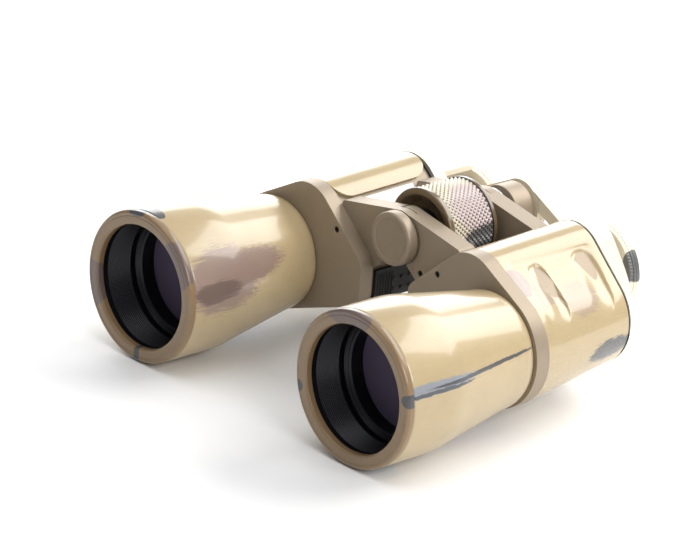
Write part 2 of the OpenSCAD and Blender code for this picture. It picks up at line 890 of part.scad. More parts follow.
left_objective_ring();
left_objective_cell();
left_objective_lens();
left_retaining_ring();
left_objective_barrel();
left_baffle();
left_front_cover();
left_cover_screws();
left_housing();
left_armour();
left_grip_pad();
left_gasket();
left_rear_cover();
left_prism_shelf();
left_front_prism();
left_rear_prism();
left_prism_clips();
right_objective_ring();
right_objective_cell();
right_objective_lens();
right_retaining_ring();
right_objective_barrel();
right_baffle();
right_front_cover();
right_cover_screws();
right_housing();
right_armour();
right_grip_pad();
right_gasket();
right_rear_cover();
right_prism_shelf();
right_front_prism();
right_rear_prism();
right_prism_clips();
left_label();
hinge_tube();
tripod_bush();
hinge_washers();
wheel_spacers();
hinge_ring_nut();
front_cap();
focus_wheel();
wheel_grip();
focus_rod();
drive_pin();
rod_sleeve();
bridge_cap();
left_bridge_arm();
left_eyepiece_barrel();
left_eye_cell();
left_eye_lenses();
left_eyepiece_ring();
left_eyecup();
right_bridge_arm();
right_eyepiece_barrel();
right_eye_cell();
right_eye_lenses();
dioptre_ring();
right_eyecup();
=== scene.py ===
"""Field binoculars with porro prisms: painted tubes over brown castings."""

import json
import math

import bmesh
import bpy
import numpy as np
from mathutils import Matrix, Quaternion, Vector


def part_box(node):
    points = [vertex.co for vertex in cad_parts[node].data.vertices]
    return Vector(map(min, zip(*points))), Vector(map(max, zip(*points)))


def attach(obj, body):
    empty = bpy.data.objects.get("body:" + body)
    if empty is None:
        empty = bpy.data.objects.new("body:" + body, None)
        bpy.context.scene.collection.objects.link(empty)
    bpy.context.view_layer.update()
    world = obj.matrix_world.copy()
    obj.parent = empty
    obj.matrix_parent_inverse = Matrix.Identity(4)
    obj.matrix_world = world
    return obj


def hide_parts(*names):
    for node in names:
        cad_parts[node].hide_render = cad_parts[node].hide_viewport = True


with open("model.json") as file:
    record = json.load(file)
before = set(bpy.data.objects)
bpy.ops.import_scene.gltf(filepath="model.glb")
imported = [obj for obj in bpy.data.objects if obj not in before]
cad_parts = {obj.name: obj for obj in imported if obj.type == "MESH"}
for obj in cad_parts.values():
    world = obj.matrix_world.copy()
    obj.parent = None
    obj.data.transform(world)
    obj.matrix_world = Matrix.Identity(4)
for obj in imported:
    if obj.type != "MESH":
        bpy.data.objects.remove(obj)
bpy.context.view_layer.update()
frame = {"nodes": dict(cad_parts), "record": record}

bl_info = {
    "name": "Field Binoculars",
    "version": (1, 0, 0),
    "blender": (4, 5, 0),
    "location": "View3D > Sidebar > Binoculars",
    "description": "Builds the looks of porro-prism field binoculars over their CAD frame",
    "category": "Add Mesh",
}

MM = 0.001
SIDES = (("left", -1), ("right", 1))
BODY_OF = {
    node: body
    for body, nodes in frame["record"]["behaviour"]["bodies"].items()
    for node in nodes
}


# ---- Sizes taken from the frame -----------------------------------------


def box_mm(node):
    """Lowest and highest corner of a CAD node, in millimetres."""
    low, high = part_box(node)
    return np.array(low) / MM, np.array(high) / MM


def axis_of(node):
    """(x, z) of the middle of a round CAD node and its radius, in millimetres."""
    low, high = box_mm(node)
    return ((low[0] + high[0]) / 2, (low[2] + high[2]) / 2), (high[2] - low[2]) / 2


OBJECTIVE, RING_R = axis_of("right_objective_ring")
EYE, EYECUP_R = axis_of("right_eyecup")
HINGE, WHEEL_R = axis_of("focus_wheel")
FRONT_Y = box_mm("right_objective_ring")[0][1]

# Wall of the lens cells at the mouth and bore of the turning rings, in millimetres
CELL_WALL = 1.6
EYE_RING_BORE_R = 14.5
EYE_RING = {"left": "left_eyepiece_ring", "right": "dioptre_ring"}


def beside(axis, k):
    """An axis (x, z) of the right half, mirrored for the left half where k is -1."""
    return k * axis[0], axis[1]


# ---- Settings ------------------------------------------------------------


def colour_property(name, description, default):
    """A colour setting given as display red, green and blue from 0 to 255."""
    return bpy.props.FloatVectorProperty(
        name=name,
        description=description,
        subtype="COLOR",
        size=3,
        min=0.0,
        max=1.0,
        default=[linear(value) for value in default],
    )


def linear(value):
    """Scene-linear value of one display channel from 0 to 255."""
    share = value / 255
    return share / 12.92 if share <= 0.04045 else ((share + 0.055) / 1.055) ** 2.4


class BinocularSizes(bpy.types.PropertyGroup):
    """Sizes of the fine detail that the looks add."""

    edge_radius: bpy.props.FloatProperty(
        name="Edge Radius",
        description="Radius of the soft edges on the castings",
        default=0.6 * MM,
        min=0.1 * MM,
        max=1.0 * MM,
        unit="LENGTH",
    )
    thread_pitch: bpy.props.FloatProperty(
        name="Thread Pitch",
        description="Pitch of the filter thread inside the lens cells",
        default=0.9 * MM,
        min=0.5 * MM,
        max=1.5 * MM,
        unit="LENGTH",
    )
    thread_depth: bpy.props.FloatProperty(
        name="Thread Depth",
        description="Depth of the filter thread inside the lens cells",
        default=0.4 * MM,
        min=0.1 * MM,
        max=0.6 * MM,
        unit="LENGTH",
    )
    knurl_depth: bpy.props.FloatProperty(
        name="Knurl Depth",
        description="Height of the small pyramids on the focus wheel",
        default=0.75 * MM,
        min=0.1 * MM,
        max=1.0 * MM,
        unit="LENGTH",
    )
    knurl_count: bpy.props.IntProperty(
        name="Knurl Count",
        description="Number of pyramids around the focus wheel",
        default=48,
        min=40,
        max=90,
    )
    groove_depth: bpy.props.FloatProperty(
        name="Finger Groove Depth",
        description="Depth of the two oval finger grooves in the armour",
        default=1.15 * MM,
        min=0.0,
        max=1.2 * MM,
        unit="LENGTH",
    )


class BinocularColours(bpy.types.PropertyGroup):
    """Colours of the paints and castings."""

    tan: colour_property("Tan", "Ground colour of the glossy paint", (177, 158, 122))
    mauve: colour_property("Mauve", "Colour of the dry-brushed patches", (140, 119, 110))
    slate: colour_property("Slate", "Colour of the dark blue-grey strokes", (62, 66, 72))
    cream: colour_property("Cream", "Colour of the eyecups and the wheel", (226, 217, 196))
    casting: colour_property("Casting", "Colour of the brown castings", (54, 43, 31))
    ring: colour_property("Ring", "Colour of the objective rings", (132, 108, 78))


def sizes():
    return bpy.context.scene.binocular_sizes


def colours():
    return bpy.context.scene.binocular_colours


# ---- Shapes --------------------------------------------------------------


def grid_faces(rows, columns, close_rows=False, close_columns=False):
    """Quads of a rows by columns grid, numbered row by row, closed round on request."""
    i = np.arange(rows if close_rows else rows - 1)
    j = np.arange(columns if close_columns else columns - 1)
    i, j = (a.ravel() for a in np.meshgrid(i, j, indexing="ij"))
    up, along = (i + 1) % rows, (j + 1) % columns
    return np.stack(
        [i * columns + j, up * columns + j, up * columns + along, i * columns + along], 1
    )


def cleaned(mesh, merge=1e-7, flat=0.0):
    """Merges a mesh's doubles, joins faces flatter than an angle and turns all faces outward."""
    made = bmesh.new()
    made.from_mesh(mesh)
    bmesh.ops.remove_doubles(made, verts=made.verts, dist=merge)
    if flat:
        bmesh.ops.dissolve_limit(
            made, angle_limit=math.radians(flat), verts=made.verts, edges=made.edges
        )
    bmesh.ops.recalc_face_normals(made, faces=made.faces)
    made.to_mesh(mesh)
    made.free()


def finish_piece(name, mesh, nodes, material, sharp=38.0, bevel=0.0, segments=2):
    """Makes the object of a mesh, smooth up to an angle, on its body and in its CAD nodes' place."""
    mesh.shade_smooth()
    mesh.set_sharp_from_angle(angle=math.radians(sharp))
    mesh.materials.clear()
    mesh.materials.append(material)
    piece = bpy.data.objects.new(name, mesh)
    bpy.context.scene.collection.objects.link(piece)
    if bevel:
        rounder = piece.modifiers.new("soft_edges", "BEVEL")
        rounder.width = bevel
        rounder.segments = segments
        rounder.limit_method = "ANGLE"
        rounder.angle_limit = math.radians(sharp)
        rounder.use_clamp_overlap = True
        rounder.harden_normals = True
    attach(piece, BODY_OF[nodes[0]])
    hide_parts(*nodes)
    return piece


def build(name, points, faces, nodes, material, shares=None, **finish):
    """Piece from points in millimetres and their faces; shares become the point attribute that paints shade
    into the knurl pits.
    """
    mesh = bpy.data.meshes.new(name)
    mesh.from_pydata((np.asarray(points, float) * MM).tolist(), [], np.asarray(faces).tolist())
    if shares is not None:
        mesh.attributes.new("pit_shade", "FLOAT", "POINT").data.foreach_set("value", shares)
    cleaned(mesh)
    return finish_piece(name, mesh, nodes, material, **finish)


def rounded(profile, radius, steps=4):
    """Closed profile with its corners cut by quadratic curves that start radius away.

    Between the points a and b, at radius from corner c on either side, the
    curve is (1-t)^2 a + 2 t (1-t) c + t^2 b.
    """
    corner = np.asarray(profile, float)
    before, after = np.roll(corner, 1, 0) - corner, np.roll(corner, -1, 0) - corner
    room = np.minimum(np.linalg.norm(before, axis=1), np.linalg.norm(after, axis=1)) * 0.45
    cut = np.minimum(np.broadcast_to(radius, len(corner)), room)[:, None]
    a = corner + before / np.linalg.norm(before, axis=1)[:, None] * cut
    b = corner + after / np.linalg.norm(after, axis=1)[:, None] * cut
    t = np.linspace(0, 1, steps + 1)[None, :, None]
    curve = (1 - t) ** 2 * a[:, None] + 2 * t * (1 - t) * corner[:, None] + t**2 * b[:, None]
    return curve.reshape(-1, 2)


def turned_points(axis, profile, count):
    """Points (x, y, z) of a profile of (r, y) turned about the axis: x = ax + r cos t, z = az + r sin t."""
    profile = np.asarray(profile, float)
    angle = np.linspace(0, 2 * math.pi, count, endpoint=False)[:, None]
    r, y = profile[None, :, 0], profile[None, :, 1]
    return np.stack(
        [axis[0] + r * np.cos(angle), y + 0 * angle, axis[1] + r * np.sin(angle)], 2
    ).reshape(-1, 3)


def turned(name, axis, profile, nodes, material, count=144, **finish):
    """Closed ring or disc: a closed profile of (r, y) turned about the axis."""
    points = turned_points(axis, profile, count)
    faces = grid_faces(count, len(profile), close_rows=True, close_columns=True)
    return build(name, points, faces, nodes, material, **finish)


def softened(node, material, bevel=None, sharp=30.0, segments=2, name=None):
    """Copy of a CAD node with its flat faces joined and its edges rounded."""
    mesh = frame["nodes"][node].data.copy()
    name = name or node + "_soft"
    mesh.name = name
    cleaned(mesh, merge=2e-6, flat=0.5)
    width = sizes().edge_radius if bevel is None else bevel * MM
    return finish_piece(name, mesh, [node], material, sharp=sharp, bevel=width, segments=segments)


def wave(value):
    """Triangle wave: 0 at whole numbers and 1 halfway between them."""
    return 1 - np.abs(2 * (value - np.floor(value)) - 1)


def smooth_step(value):
    """Smooth rise 3t^2 - 2t^3 from 0 to 1."""
    t = np.clip(value, 0, 1)
    return t * t * (3 - 2 * t)


# ---- Shader building -----------------------------------------------------


def add(tree, kind, sockets=None, **settings):
    """Adds a node with its settings; a socket takes a value or another node's output."""
    node = tree.nodes.new(kind)
    for key, value in settings.items():
        setattr(node, key, value)
    for key, value in (sockets or {}).items():
        if isinstance(value, bpy.types.NodeSocket):
            tree.links.new(value, node.inputs[key])
        else:
            node.inputs[key].default_value = value
    return node


def math_node(tree, operation, a, b=0.0, clamp=False):
    return add(tree, "ShaderNodeMath", {0: a, 1: b}, operation=operation, use_clamp=clamp).outputs[0]


def vector_node(tree, operation, a, b=(0, 0, 0)):
    node = add(tree, "ShaderNodeVectorMath", {0: a, 1: b}, operation=operation)
    return node.outputs["Value" if operation == "LENGTH" else "Vector"]


def scaled_vector(tree, vector, factor):
    node = add(tree, "ShaderNodeVectorMath", {0: vector, "Scale": factor}, operation="SCALE")
    return node.outputs["Vector"]


def mixed(tree, share, a, b):
    """Colour a turned into colour b by a share."""
    node = add(tree, "ShaderNodeMix", {0: share, 6: a, 7: b}, data_type="RGBA")
    return node.outputs[2]


def ranged(tree, value, low, high, out_low=0.0, out_high=1.0):
    node = add(
        tree,
        "ShaderNodeMapRange",
        {"Value": value, "From Min": low, "From Max": high, "To Min": out_low, "To Max": out_high},
        interpolation_type="SMOOTHSTEP",
    )
    return node.outputs[0]


def noise(tree, vector, scale, detail=3.0, rough=0.55):
    node = add(
        tree,
        "ShaderNodeTexNoise",
        {"Vector": vector, "Scale": scale, "Detail": detail, "Roughness": rough},
    )
    return node.outputs["Fac"], node.outputs["Color"]


def new_group(name, inputs, outputs):
    """Empty shader node group with named sockets; each input is (name, kind, default)."""
    tree = bpy.data.node_groups.new(name, "ShaderNodeTree")
    for title, kind, default in inputs:
        socket = tree.interface.new_socket(title, in_out="INPUT", socket_type=kind)
        socket.default_value = default
    for title, kind in outputs:
        tree.interface.new_socket(title, in_out="OUTPUT", socket_type=kind)
    return tree, tree.nodes.new("NodeGroupInput"), tree.nodes.new("NodeGroupOutput")


def place_group(tree, name, **values):
    """Puts a node group into a tree; a value's name has _ where the socket's has a space."""
    node = tree.nodes.new("ShaderNodeGroup")
    node.node_tree = bpy.data.node_groups[name]
    for key, value in values.items():
        socket = node.inputs[key.replace("_", " ")]
        if isinstance(value, bpy.types.NodeSocket):
            tree.links.new(value, socket)
        else:
            socket.default_value = value
    return node.outputs


def make_brushed_patch_group():
    """Mask of one brushed patch: an ellipsoid in space with a ragged, streaky edge.

    d is the length of (p + wobble - centre) / size; the mask rises smoothly
    as 1 - d + streak passes zero, where streak is noise drawn out along Y.
    """
    tree, given, out = new_group(
        "brushed_patch",
        (
            ("Position", "NodeSocketVector", (0, 0, 0)),
            ("Centre", "NodeSocketVector", (0, 0, 0)),
            ("Size", "NodeSocketVector", (10, 10, 10)),
            ("Stretch", "NodeSocketVector", (0.5, 0.06, 0.5)),
            ("Wobble", "NodeSocketFloat", 3.0),
            ("Streak", "NodeSocketFloat", 0.25),
            ("Softness", "NodeSocketFloat", 0.06),
        ),
        (("Mask", "NodeSocketFloat"),),
    )
    place = given.outputs["Position"]
    _, colour = noise(tree, place, 0.11, 2.0)
    swing = vector_node(tree, "SUBTRACT", colour, (0.5, 0.5, 0.5))
    moved = vector_node(tree, "ADD", place, scaled_vector(tree, swing, given.outputs["Wobble"]))
    away = vector_node(tree, "SUBTRACT", moved, given.outputs["Centre"])
    shared = vector_node(tree, "DIVIDE", away, given.outputs["Size"])
    distance = vector_node(tree, "LENGTH", shared)
    drawn = vector_node(tree, "MULTIPLY", place, given.outputs["Stretch"])
    streaks, _ = noise(tree, drawn, 4.0, 4.0, 0.65)
    lifted = math_node(tree, "MULTIPLY", math_node(tree, "SUBTRACT", streaks, 0.5), given.outputs["Streak"])
    inside = math_node(tree, "SUBTRACT", 1.0, distance)
    total = math_node(tree, "ADD", inside, math_node(tree, "MULTIPLY", lifted, 4.0))
    edge = given.outputs["Softness"]
    mask = ranged(tree, total, math_node(tree, "MULTIPLY", edge, -1.0), edge)
    tree.links.new(mask, out.inputs["Mask"])


def make_paint_film_group():
    """Slow tone change, fine grain and orange-peel height of a sprayed paint film."""
    tree, given, out = new_group(
        "paint_film",
        (
            ("Position", "NodeSocketVector", (0, 0, 0)),
            ("Base", "NodeSocketColor", (0.5, 0.5, 0.5, 1)),
            ("Tone", "NodeSocketFloat", 0.12),
            ("Grain Scale", "NodeSocketFloat", 2.0),
            ("Roughness", "NodeSocketFloat", 0.3),
            ("Roughness Change", "NodeSocketFloat", 0.1),
        ),
        (("Color", "NodeSocketColor"), ("Roughness", "NodeSocketFloat"), ("Height", "NodeSocketFloat")),
    )
    place = given.outputs["Position"]
    slow, _ = noise(tree, place, 0.045, 3.0)
    drawn = vector_node(tree, "MULTIPLY", place, (1.0, 0.12, 1.0))
    brushed, _ = noise(tree, drawn, 0.9, 3.0)
    slow_part = math_node(tree, "MULTIPLY", slow, 0.7)
    brushed_part = math_node(tree, "MULTIPLY", brushed, 0.3)
    level = math_node(tree, "ADD", slow_part, brushed_part)
    swing = math_node(tree, "MULTIPLY", math_node(tree, "SUBTRACT", level, 0.5), given.outputs["Tone"])
    bright = math_node(tree, "ADD", math_node(tree, "MULTIPLY", swing, 3.0), 1.0)
    tinted = scaled_vector(tree, given.outputs["Base"], bright)
    grain, _ = noise(tree, place, given.outputs["Grain Scale"], 4.0)
    shift = math_node(
        tree, "MULTIPLY", math_node(tree, "SUBTRACT", grain, 0.5), given.outputs["Roughness Change"]
    )
    tree.links.new(tinted, out.inputs["Color"])
    tree.links.new(math_node(tree, "ADD", given.outputs["Roughness"], shift), out.inputs["Roughness"])
    tree.links.new(grain, out.inputs["Height"])


def rgba(colour):
    return (*colour[:3], 1.0)


def dimmed(colour, share):
    """A colour at a share of its brightness."""
    return tuple(share * value for value in colour)


def shader_of(made):
    """The Principled shader of a material."""
    return made.node_tree.nodes["Principled BSDF"]


def start_material(name):
    """New material; gives its tree, its Principled shader and the position in millimetres."""
    material = bpy.data.materials.new(name)
    material.use_nodes = True
    tree = material.node_tree
    shader = tree.nodes["Principled BSDF"]
    object_place = add(tree, "ShaderNodeTexCoord").outputs["Object"]
    return material, tree, shader, scaled_vector(tree, object_place, 1 / MM)


def relief(tree, shader, height, strength, distance):
    """Bump on the shader's normal, distance in millimetres."""
    bump = add(tree, "ShaderNodeBump", {"Height": height, "Strength": strength, "Distance": distance * MM})
    tree.links.new(bump.outputs["Normal"], shader.inputs["Normal"])


def paint(name, base, patches=(), roughness=0.3, coat=0.5, tone=0.12, grain=2.0, bump=0.15):
    """Sprayed paint with brushed patches over it; a patch is (colour, centre, size, extra values)."""
    material, tree, shader, place = start_material(name)
    film = place_group(
        tree, "paint_film", Position=place, Base=rgba(base), Tone=tone,
        Grain_Scale=grain, Roughness=roughness, Roughness_Change=0.12,
    )
    colour = film["Color"]
    for tint, centre, size, extra in patches:
        mask = place_group(
            tree, "brushed_patch", Position=place, Centre=centre, Size=size, **extra
        )["Mask"]
        thin = math_node(tree, "MULTIPLY", mask, 0.92)
        colour = mixed(tree, thin, colour, rgba(tint))
    tree.links.new(colour, shader.inputs["Base Color"])
    tree.links.new(film["Roughness"], shader.inputs["Roughness"])
    shader.inputs["Coat Weight"].default_value = coat
    shader.inputs["Coat Roughness"].default_value = 0.08
    relief(tree, shader, film["Height"], bump, 0.05)
    return material


def plain(name, base, roughness, metallic=0.0, tone=0.1, grain=3.0, bump=0.2, coat=0.0):
    """Satin metal, rubber or plastic with grain in its tone, gloss and relief."""
    material = paint(name, base, (), roughness, coat, tone, grain, bump)
    shader_of(material).inputs["Metallic"].default_value = metallic
    return material


def glass(name, tint, transmission, roughness, ior):
    """Lens or prism glass with faint dust in its roughness."""
    material, tree, shader, place = start_material(name)
    dust, _ = noise(tree, place, 0.6, 4.0)
    shader.inputs["Base Color"].default_value = rgba(tint)
    shader.inputs["Transmission Weight"].default_value = transmission
    shader.inputs["IOR"].default_value = ior
    tree.links.new(ranged(tree, dust, 0.3, 0.8, roughness, roughness + 0.06), shader.inputs["Roughness"])
    return material


def material(name):
    """A material by name: the one in the file, or a new one where the file has none."""
    if name not in bpy.data.materials:
        MATERIALS[name](name)
    return bpy.data.materials[name]


DRY = {"Wobble": 4.0, "Streak": 0.22, "Softness": 0.05}
STREAKY = {"Wobble": 2.0, "Streak": 0.3, "Softness": 0.16, "Stretch": (0.5, 0.03, 0.5)}
CLEAN = {"Wobble": 2.0, "Streak": 0.04, "Softness": 0.05}
SQUARE = {"Wobble": 1.0, "Streak": 0.02, "Softness": 0.03}


def left_barrel_paint(name):
    c = colours()
    dark = dimmed(c.mauve, 0.55)
    return paint(name, c.tan, (
        (c.mauve, (-33, -62, 39.5), (16, 19, 12.5), STREAKY),
        (c.mauve, (-33, -47, 42), (14, 20, 6.5), STREAKY),
        (dark, (-33, -66, 36), (12, 12, 4.5), STREAKY),
        (c.slate, (-62, -76, 62), (8, 3.5, 2.2), SQUARE),
        (c.mauve, (-85, -30, 30), (8, 22, 12), DRY),
        (c.slate, (-62, -25, 4), (14, 18, 9), STREAKY),
    ))


def right_barrel_paint(name):
    c = colours()
    pale = tuple(3.6 * v + 0.06 for v in c.slate)
    return paint(name, c.tan, (
        (pale, (89, -70, 39), (9, 26, 2.6), {"Wobble": 0.8, "Streak": 0.26, "Softness": 0.14}),
        (c.slate, (89, -68, 37.4), (9, 24, 0.8), {"Wobble": 0.5, "Streak": 0.3, "Softness": 0.14}),
        (c.slate, (87.5, -38, 39.0), (9, 36, 0.8), {"Wobble": 0.6, "Streak": 0.2, "Softness": 0.14}),
        (c.mauve, (34, -55, 40), (9, 20, 10), DRY),
        (c.mauve, (60, -20, 6), (14, 20, 9), DRY),
        (c.slate, (66, -72, 2), (12, 8, 6), CLEAN),
    ))


def armour_paint(name):
    c = colours()
    faint = tuple(0.5 * (a + b) for a, b in zip(c.mauve, c.tan))
    return paint(name, c.tan, (
        (faint, (71, 10, 52.5), (7, 7, 4.0), STREAKY),
        (faint, (74, 27, 48.5), (9, 10, 6.5), STREAKY),
        (c.mauve, (65, 2, 57), (9, 4.6, 5), CLEAN),
        (c.slate, (80, 40, 26.5), (6, 13, 4.6), STREAKY),
        (c.mauve, (-60, 20, 63), (12, 8, 6), DRY),
        (c.slate, (-82, 34, 32), (6, 14, 9), STREAKY),
        (c.mauve, (-72, 12, 50), (8, 9, 7), DRY),
    ), roughness=0.26)


def left_ring_paint(name):
    c = colours()
    dark = dimmed(c.mauve, 0.55)
    return paint(name, c.ring, (
        (dark, (-90, -81, 24), (9, 9, 10), CLEAN),
        (dark, (-40, -80, 47), (9, 9, 10), CLEAN),
        (c.slate, (-66, -80, 61.4), (5, 9, 1.6), SQUARE),
        (c.slate, (-60.5, -80, 2.5), (1.6, 9, 4.4), SQUARE),
    ), roughness=0.34, coat=0.3)


def right_ring_paint(name):
    c = colours()
    dark = dimmed(c.mauve, 0.55)
    return paint(name, c.ring, (
        (dark, (56, -80, 59.5), (13, 9, 5), CLEAN),
        (c.slate, (32, -80, 23), (3.4, 9, 2.6), SQUARE),
        (c.slate, (91.6, -80, 36.5), (3.6, 9, 2.6), SQUARE),
    ), roughness=0.34, coat=0.3)


def wheel_grip_paint(name):
    c = colours()
    # The near-black brown goes into the knurl's pits as painted shade.
    pale, pit_shade_colour = (0.72, 0.60, 0.60), (0.035, 0.024, 0.018, 1)
    made = paint(name, c.cream, (
        (pale, (12, 28, 66), (14, 12, 8.5), DRY),
        (c.slate, (16, 32, 54), (7, 12, 6), DRY),
        (c.mauve, (-12, 24, 45), (9, 9, 8), DRY),
        (c.slate, (-4, 30, 38), (9, 8, 5), DRY),
    ), roughness=0.32, coat=0.4)
    tree = made.node_tree
    socket = shader_of(made).inputs["Base Color"]
    # Mixes the painted shade into the pits of the knurl.
    pit_shade = add(tree, "ShaderNodeAttribute", attribute_name="pit_shade").outputs["Fac"]
    tree.links.new(mixed(tree, pit_shade, socket.links[0].from_socket, pit_shade_colour), socket)
    return made


def eyecup_paint(name):
    c = colours()
    return paint(name, c.cream, (
        (c.slate, (55.5, 78, 45), (4.5, 8, 7.5), CLEAN),
        (c.mauve, (-52, 78, 30), (7, 8, 8), DRY),
    ), roughness=0.38, coat=0.2)


# The cream ground stands in for the brown casting lit bright from behind: a painted highlight over the rear
# covers and bridge arms. The mauve and slate patches on it are camo.
def rear_cover_highlight_paint(name):
    c = colours()
    return paint(name, c.cream, (
        (c.mauve, (-66, 54, 52), (8, 9, 8), DRY),
        (c.slate, (80, 54, 24), (6, 9, 6), CLEAN),
    ), roughness=0.32, coat=0.35)


def brown_casting(name):
    """Satin brown paint on the castings, with fine grain."""
    made = paint(name, colours().casting, roughness=0.48, coat=0.0, tone=0.1, grain=4.0, bump=0.3)
    shader_of(made).inputs["Specular IOR Level"].default_value = 0.3
    return made


def black_anodised(name):
    """Black anodised tube with little shine."""
    made = plain(name, (0.005, 0.005, 0.006), 0.4, tone=0.2, bump=0.1)
    shader_of(made).inputs["Specular IOR Level"].default_value = 0.22
    return made


def rubber_pad(name):
    """Black rubber with fine grain."""
    return plain(name, (0.018, 0.018, 0.019), 0.62, tone=0.2, grain=5.0, bump=0.5)


# The frame already holds brown_casting, black_anodised, brass, coated_lens and
# prism_glass, and material() finds those first, so these five are not made here.
MATERIALS = {
    "left_barrel_paint": left_barrel_paint,
    "right_barrel_paint": right_barrel_paint,
    "armour_paint": armour_paint,
    "left_ring_paint": left_ring_paint,
    "right_ring_paint": right_ring_paint,
    "wheel_grip_paint": wheel_grip_paint,
    "eyecup_paint": eyecup_paint,
    "rear_cover_highlight_paint": rear_cover_highlight_paint,
    "wheel_rim_paint": lambda n: paint(n, dimmed(colours().ring, 0.6), roughness=0.25, coat=0.5),
    "brown_casting": brown_casting,
    "black_anodised": black_anodised,
    "black_oxide": lambda n: plain(n, (0.05, 0.047, 0.045), 0.3, 1.0, tone=0.2, bump=0.1),
    "matt_black": lambda n: plain(n, (0.006, 0.006, 0.006), 0.6, tone=0.2),
    "steel": lambda n: plain(n, (0.56, 0.56, 0.57), 0.3, 1.0, tone=0.06, grain=6.0, bump=0.1),
    "brass": lambda n: plain(n, (0.62, 0.44, 0.19), 0.32, 1.0, tone=0.06, grain=6.0, bump=0.1),
    "rubber_pad": rubber_pad,
    "gasket_rubber": lambda n: plain(n, (0.02, 0.02, 0.022), 0.5),
    "label_film": lambda n: plain(n, (0.78, 0.79, 0.82), 0.35, tone=0.05, grain=1.0, bump=0.05),
    "coated_lens": lambda n: glass(n, (0.10, 0.08, 0.16), 0.35, 0.05, 1.75),
    "prism_glass": lambda n: glass(n, (0.86, 0.92, 0.93), 1.0, 0.03, 1.52),
}


# ---- Pieces --------------------------------------------------------------


def make_objective_ring(side, k):
    """Flat front ring with soft edges and a fine line near its rim."""
    node = side + "_objective_ring"
    low, high = box_mm(node)
    mouth = (box_mm(side + "_objective_cell")[1][2] - OBJECTIVE[1]) - CELL_WALL
    front, back, r = low[1], high[1], RING_R
    groove, groove_half, groove_depth = r - 2.1, 0.35, 0.18
    profile = [
        (mouth, front + 0.7), (mouth + 0.7, front), (groove - groove_half, front),
        (groove, front + groove_depth), (groove + groove_half, front), (r - 0.9, front),
        (r, front + 0.9), (r, back - 0.25), (r - 0.35, back), (mouth, back),
    ]
    soft = [0.2, 0.5, 0.1, 0.1, 0.1, 0.6, 0.6, 0.1, 0.1, 0.2]
    turned(
        side + "_front_ring", beside(OBJECTIVE, k), rounded(profile, soft),
        [node], material(side + "_ring_paint"), count=192,
    )


def make_objective_barrel(side, k):
    """Painted tube: straight front, long soft taper, tail turned in to the cover."""
    node = side + "_objective_barrel"
    low, high = box_mm(node)
    cover_at = box_mm(side + "_front_cover")[0][1]
    straight_end = FRONT_Y + 27.0
    tail_at, waist_r, tail_r = cover_at - 6.3, 24.0, 21.8
    neck_r, bore_r, wall = 21.5, RING_R - 4.2, 2.2
    angle = np.radians(np.linspace(0, 90, 9))
    tail = np.stack(
        [tail_r + (waist_r - tail_r) * np.cos(angle), tail_at + (cover_at - tail_at) * np.sin(angle)], 1
    )
    blend = np.linspace(-1, 1, 13)
    reach = 4.0
    slope = (waist_r - RING_R) / (tail_at - straight_end)
    soft = np.stack(
        [RING_R + slope * reach * (blend + 1) ** 2 / 4, straight_end + reach * blend], 1
    )
    profile = np.concatenate([
        [(bore_r, low[1]), (RING_R - 0.4, low[1]), (RING_R - 0.12, low[1] + 0.25),
         (RING_R, low[1] + 0.8)],
        soft, tail,
        [(neck_r, cover_at), (neck_r, high[1]), (neck_r - wall, high[1]), (neck_r - wall, tail_at),
         (bore_r, low[1] + 33.0)],
    ])
    turned(
        side + "_painted_tube", beside(OBJECTIVE, k), profile,
        [node], material(side + "_barrel_paint"), count=192,
    )


def make_objective_cell(side, k):
    """Black lens cell with a filter thread: r = mouth + depth * triangle wave of y / pitch."""
    node = side + "_objective_cell"
    low, high = box_mm(node)
    outer = high[2] - OBJECTIVE[1]
    mouth = outer - CELL_WALL
    pitch, depth = sizes().thread_pitch / MM, sizes().thread_depth / MM
    turns = 13
    thread_start = low[1] + 2.2
    thread_end = thread_start + turns * pitch
    relief_at = FRONT_Y + 18.0
    y = thread_start + np.arange(2 * turns + 1) * pitch / 2
    thread = np.stack([mouth + depth * (np.arange(len(y)) % 2), y], 1)
    profile = np.concatenate([
        [(mouth, low[1]), (mouth, low[1] + 1.6)], thread,
        [(mouth, thread_end + 0.4), (mouth, relief_at), (mouth + 0.4, relief_at),
         (mouth + 0.4, relief_at + 1), (mouth - 0.4, relief_at + 1), (mouth - 0.4, high[1] - 2),
         (mouth - 3, high[1] - 2), (mouth - 3, high[1]), (outer, high[1]), (outer, low[1])],
    ])
    turned(
        side + "_lens_cell", beside(OBJECTIVE, k), profile,
        [node], material("black_anodised"), count=160, sharp=30,
    )


def make_retaining_ring(side, k):
    """Sloping ring in front of the lens with two turned lines."""
    node = side + "_retaining_ring"
    low, high = box_mm(node)
    outer = high[2] - OBJECTIVE[1]
    width, rise, cut = 2.4, 1.5, 0.22
    lip = outer - width
    slope = rise / width
    lines = [
        (lip + 0.9, 0.0), (lip + 1.1, cut), (lip + 1.3, 0.0),
        (lip + 1.8, 0.0), (lip + 2.0, cut), (lip + 2.2, 0.0),
    ]
    front = [(r, low[1] + rise - (r - lip) * slope + dip) for r, dip in lines]
    profile = [(lip, high[1] - 0.4), (lip, low[1] + rise)] + front + [(outer, low[1]), (outer, high[1])]
    turned(
        side + "_lens_retainer", beside(OBJECTIVE, k), profile,
        [node], material("black_anodised"), count=144, sharp=30,
    )


def make_objective_lens(side, k):
    """Domed front lens: y = edge - bulge (1 - (r / R)^2)."""
    node = side + "_objective_lens"
    low, high = box_mm(node)
    radius = high[2] - OBJECTIVE[1]
    bulge, pole, rim = 1.4, 0.02, radius - 0.05
    r = np.linspace(pole, rim, 22)
    front = np.stack([r, low[1] + bulge * (r / radius) ** 2], 1)
    profile = np.concatenate([front, [(rim, high[1]), (pole, high[1])]])
    turned(
        side + "_front_lens", beside(OBJECTIVE, k), profile,
        [node], material("coated_lens"), count=128,
    )


